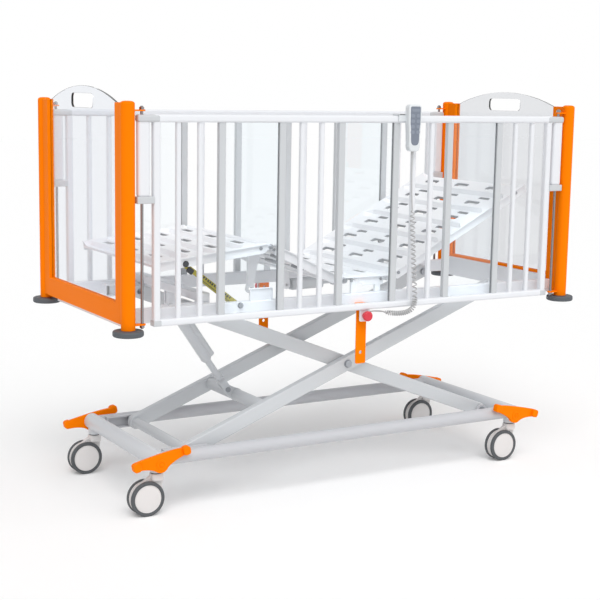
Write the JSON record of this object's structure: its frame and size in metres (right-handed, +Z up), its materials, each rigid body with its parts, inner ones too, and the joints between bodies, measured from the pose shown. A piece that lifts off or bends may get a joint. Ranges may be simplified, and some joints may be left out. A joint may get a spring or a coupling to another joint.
{
  "type": "pediatric hospital cot",
  "caption": "Wheeled pediatric hospital cot with scissor lift, sectioned tilting deck, clear end panels, sliding drop sides with locks, castor brakes and a corded hand control",
  "frame": {"origin": "On the floor, below the middle of the outline", "axes": "+X along the length towards the head end, +Y across away from the side with the hand control, +Z up"},
  "size_m": [1.964, 0.89, 1.477],
  "materials": {
    "orange_paint": "gloss powder coat",
    "white_paint": "semi-gloss powder coat",
    "grey_paint": "semi-gloss powder coat",
    "arm_paint": "semi-gloss powder coat",
    "bumper_rubber": "matt",
    "castor_tyre": "matt, with light plastic wheel caps",
    "castor_plastic": "moulded",
    "chrome_rod": "bright",
    "clear_acrylic": "clear polished sheet",
    "yellow_zinc": "yellow zinc plate",
    "red_plastic": "moulded",
    "handset_plastic": "fine texture",
    "cord_plastic": "smooth jacket"
  },
  "bodies": {
    "base": {"base_side_tube_front": "grey_paint", "base_side_tube_rear": "grey_paint", "base_end_tube_foot": "grey_paint", "base_end_tube_head": "grey_paint"},
    "castor_foot_front": {"castor_housing_foot_front": "castor_plastic"},
    "wheels_foot_front": {"castor_wheels_foot_front": "castor_tyre"},
    "castor_foot_rear": {"castor_housing_foot_rear": "castor_plastic"},
    "wheels_foot_rear": {"castor_wheels_foot_rear": "castor_tyre"},
    "castor_head_front": {"castor_housing_head_front": "castor_plastic"},
    "wheels_head_front": {"castor_wheels_head_front": "castor_tyre"},
    "castor_head_rear": {"castor_housing_head_rear": "castor_plastic"},
    "wheels_head_rear": {"castor_wheels_head_rear": "castor_tyre"},
    "brake_foot": {"brake_treadle_foot": "orange_paint"},
    "brake_head": {"brake_treadle_head": "orange_paint"},
    "inner_arms": {"inner_arm_front": "arm_paint", "inner_arm_rear": "arm_paint", "inner_pivot_tube": "arm_paint"},
    "outer_arms": {"outer_arm_front": "arm_paint", "outer_arm_rear": "arm_paint", "outer_slide_tube": "arm_paint", "outer_drive_tube": "arm_paint"},
    "deck": {"deck_side_member_front": "white_paint", "deck_side_member_rear": "white_paint", "deck_cross_bar": "white_paint", "foot_end_frame": "orange_paint", "head_end_frame": "orange_paint", "bumper_foot_front": "bumper_rubber", "bumper_foot_rear": "bumper_rubber", "bumper_head_front": "bumper_rubber", "bumper_head_rear": "bumper_rubber", "guide_rod_foot_front": "chrome_rod", "guide_rod_foot_rear": "chrome_rod", "guide_rod_head_front": "chrome_rod", "guide_rod_head_rear": "chrome_rod", "foot_panel": "clear_acrylic", "head_panel": "clear_acrylic", "lock_plate_front": "orange_paint", "lock_plate_rear": "orange_paint", "seat_section": "white_paint"},
    "lift_actuator_body": {"lift_actuator_body": "arm_paint"},
    "lift_actuator_rod": {"lift_actuator_rod": "grey_paint"},
    "back": {"back_section": "white_paint"},
    "back_actuator_body": {"back_actuator_body": "arm_paint"},
    "back_actuator_rod": {"back_actuator_rod": "grey_paint"},
    "thigh": {"thigh_section": "white_paint"},
    "calf": {"calf_section": "white_paint"},
    "calf_ratchet_channel": {"calf_ratchet_channel": "yellow_zinc"},
    "calf_ratchet_bar": {"calf_ratchet_bar": "yellow_zinc"},
    "drop_side_front": {"drop_side_front": "white_paint", "side_panel_front_foot": "clear_acrylic", "side_panel_front_middle": "clear_acrylic", "side_panel_front_head": "clear_acrylic", "handset": "handset_plastic", "handset_cord": "cord_plastic"},
    "plunger_front": {"lock_plunger_front": "red_plastic"},
    "drop_side_rear": {"drop_side_rear": "white_paint", "side_panel_rear_foot": "clear_acrylic", "side_panel_rear_middle": "clear_acrylic", "side_panel_rear_head": "clear_acrylic"},
    "plunger_rear": {"lock_plunger_rear": "red_plastic"}
  },
  "joints": [
    {"name": "castor_swivel_foot_front", "type": "hinge", "parent": "base", "child": "castor_foot_front", "pos_m": [-0.783, -0.29, 0.15], "axis": [0, 0, 1], "continuous": true},
    {"name": "wheel_roll_foot_front", "type": "hinge", "parent": "castor_foot_front", "child": "wheels_foot_front", "pos_m": [-0.823, -0.29, 0.0625], "axis": [0, 1, 0], "continuous": true},
    {"name": "castor_swivel_foot_rear", "type": "hinge", "parent": "base", "child": "castor_foot_rear", "pos_m": [-0.783, 0.29, 0.15], "axis": [0, 0, 1], "continuous": true},
    {"name": "wheel_roll_foot_rear", "type": "hinge", "parent": "castor_foot_rear", "child": "wheels_foot_rear", "pos_m": [-0.823, 0.29, 0.0625], "axis": [0, 1, 0], "continuous": true},
    {"name": "castor_swivel_head_front", "type": "hinge", "parent": "base", "child": "castor_head_front", "pos_m": [0.783, -0.29, 0.15], "axis": [0, 0, 1], "continuous": true},
    {"name": "wheel_roll_head_front", "type": "hinge", "parent": "castor_head_front", "child": "wheels_head_front", "pos_m": [0.743, -0.29, 0.0625], "axis": [0, 1, 0], "continuous": true},
    {"name": "castor_swivel_head_rear", "type": "hinge", "parent": "base", "child": "castor_head_rear", "pos_m": [0.783, 0.29, 0.15], "axis": [0, 0, 1], "continuous": true},
    {"name": "wheel_roll_head_rear", "type": "hinge", "parent": "castor_head_rear", "child": "wheels_head_rear", "pos_m": [0.743, 0.29, 0.0625], "axis": [0, 1, 0], "continuous": true},
    {"name": "brake_foot", "type": "hinge", "parent": "base", "child": "brake_foot", "pos_m": [-0.783, 0, 0.186], "axis": [0, 1, 0], "range_deg": [0, 24]},
    {"name": "brake_head", "type": "hinge", "parent": "base", "child": "brake_head", "pos_m": [0.783, 0, 0.186], "axis": [0, 1, 0], "range_deg": [-24, 0]},
    {"name": "lift", "type": "hinge", "parent": "base", "child": "inner_arms", "pos_m": [0.69376, 0, 0.195], "axis": [0, 1, 0], "range_deg": [-4.66, 4.37]},
    {"name": "scissor_centre", "type": "hinge", "parent": "inner_arms", "child": "outer_arms", "pos_m": [0.028, 0, 0.453], "axis": [0, 1, 0], "range_deg": [-9, 9.6]},
    {"name": "scissor_top", "type": "hinge", "parent": "outer_arms", "child": "deck", "pos_m": [0.69376, 0, 0.711], "axis": [0, 1, 0], "range_deg": [-4.8, 4.5]},
    {"name": "lift_actuator_pivot", "type": "hinge", "parent": "deck", "child": "lift_actuator_body", "pos_m": [-0.59976, 0, 0.69], "axis": [0, -1, 0], "range_deg": [-3.3, 3.5]},
    {"name": "lift_actuator_stroke", "type": "slide", "parent": "lift_actuator_body", "child": "lift_actuator_rod", "axis": [0.5667, 0, -0.8239], "range_m": [-0.0885, 0.083]},
    {"name": "back", "type": "hinge", "parent": "deck", "child": "back", "pos_m": [0.15, 0, 0.786], "axis": [0, -1, 0], "range_deg": [-27.5, 42.5]},
    {"name": "back_actuator_pivot", "type": "hinge", "parent": "deck", "child": "back_actuator_body", "pos_m": [-0.06, 0.09, 0.715], "axis": [0, -1, 0], "range_deg": [-6.3, 9.7]},
    {"name": "back_actuator_stroke", "type": "slide", "parent": "back_actuator_body", "child": "back_actuator_rod", "axis": [0.9998, 0, 0.0181], "range_m": [-0.03, 0.046]},
    {"name": "thigh", "type": "hinge", "parent": "deck", "child": "thigh", "pos_m": [-0.07, 0, 0.786], "axis": [0, 1, 0], "range_deg": [-25.5, 12]},
    {"name": "calf", "type": "hinge", "parent": "thigh", "child": "calf", "pos_m": [-0.36424, 0, 0.92635], "axis": [0, 1, 0], "range_deg": [-15.2, 32]},
    {"name": "calf_ratchet_pivot", "type": "hinge", "parent": "deck", "child": "calf_ratchet_channel", "pos_m": [-0.491, -0.308, 0.728], "axis": [0, 1, 0], "range_deg": [-26.3, 12.5]},
    {"name": "calf_ratchet_slide", "type": "slide", "parent": "calf_ratchet_channel", "child": "calf_ratchet_bar", "axis": [-0.7966, 0, 0.6045], "range_m": [-0.0095, 0.0048]},
    {"name": "drop_side_front", "type": "slide", "parent": "deck", "child": "drop_side_front", "axis": [0, 0, -1], "range_m": [0, 0.36], "deforming": ["handset_cord"]},
    {"name": "lock_plunger_front", "type": "slide", "parent": "drop_side_front", "child": "plunger_front", "axis": [0, -1, 0], "range_m": [0, 0.014], "stiffness_N_per_m": 900},
    {"name": "drop_side_rear", "type": "slide", "parent": "deck", "child": "drop_side_rear", "axis": [0, 0, -1], "range_m": [0, 0.36]},
    {"name": "lock_plunger_rear", "type": "slide", "parent": "drop_side_rear", "child": "plunger_rear", "axis": [0, 1, 0], "range_m": [0, 0.014], "stiffness_N_per_m": 900}
  ],
  "couplings": [
    {"joint": "brake_head", "follows": "brake_foot", "ratio": -1},
    {"joint": "scissor_centre", "follows": "lift", "ratio": -2},
    {"joint": "scissor_top", "follows": "lift", "ratio": 1},
    {"joint": "lift_actuator_pivot", "follows": "lift", "ratio": -0.7189},
    {"joint": "lift_actuator_stroke", "follows": "lift", "m_per_rad": 1.0749},
    {"joint": "back_actuator_pivot", "follows": "back", "ratio": 0.223},
    {"joint": "back_actuator_stroke", "follows": "back", "m_per_rad": 0.05995},
    {"joint": "calf", "follows": "thigh", "ratio": -1.2431},
    {"joint": "calf_ratchet_pivot", "follows": "thigh", "ratio": 1.021},
    {"joint": "calf_ratchet_slide", "follows": "thigh", "m_per_rad": 0.01958}
  ]
}
